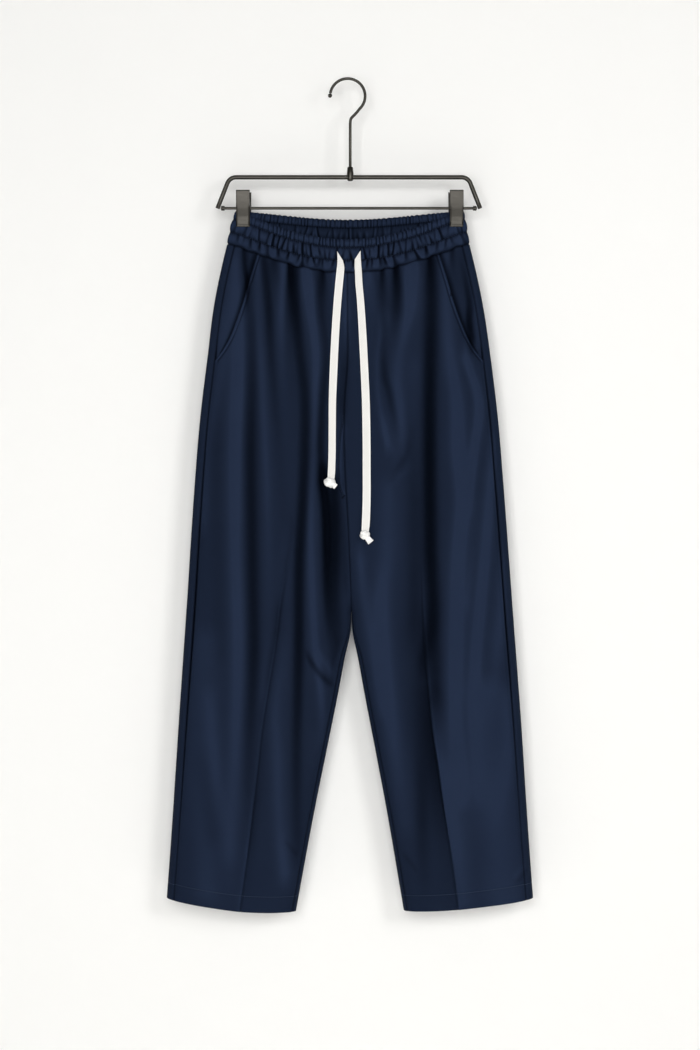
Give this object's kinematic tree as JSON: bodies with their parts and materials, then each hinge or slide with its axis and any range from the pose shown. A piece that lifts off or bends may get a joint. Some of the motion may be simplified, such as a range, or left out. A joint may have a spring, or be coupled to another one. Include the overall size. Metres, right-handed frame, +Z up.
{
  "type": "wide-leg drawstring trousers on a clip hanger",
  "caption": "Wide-leg trousers with a gathered elastic waist, slanted pockets, pressed creases and a tape drawstring, hung flat by clips from a metal hanger.",
  "frame": {"origin": "inner top of the hanger's hook, where a rail or nail holds it", "axes": "+Z up, the front of the trousers faces -Y, +X is to the right as seen from the front"},
  "size_m": [0.5128, 0.0651, 1.1665],
  "materials": {
    "navy_cloth": "smooth navy twill weave, matt with a faint sheen",
    "navy_cloth_inside": "wrong side of the navy twill",
    "cotton_tape": "flat woven cotton tape, off-white",
    "gunmetal": "gunmetal plated steel wire and tube, satin",
    "dark_gunmetal": "gunmetal plated sheet steel, satin"
  },
  "bodies": {
    "root": {"front_left": "navy_cloth", "back_left": "navy_cloth", "pocket_bearer_left": "navy_cloth", "front_right": "navy_cloth", "back_right": "navy_cloth", "pocket_bearer_right": "navy_cloth", "waistband_front": "navy_cloth", "waistband_back": "navy_cloth", "hem_left": "navy_cloth_inside", "hem_right": "navy_cloth_inside", "drawstring_left": "cotton_tape", "drawstring_right": "cotton_tape", "drawstring_tail": "cotton_tape", "knot_left": "cotton_tape", "knot_right": "cotton_tape", "hanger_hook": "gunmetal", "hook_ball": "gunmetal", "hanger_ferrule": "gunmetal", "hanger_bar": "gunmetal", "hanger_rod": "gunmetal", "rod_collar_left": "gunmetal", "rod_collar_right": "gunmetal", "clip_front_left": "dark_gunmetal", "clip_back_left": "dark_gunmetal", "clip_spring_left": "dark_gunmetal", "clip_front_right": "dark_gunmetal", "clip_back_right": "dark_gunmetal", "clip_spring_right": "dark_gunmetal"}
  },
  "joints": []
}
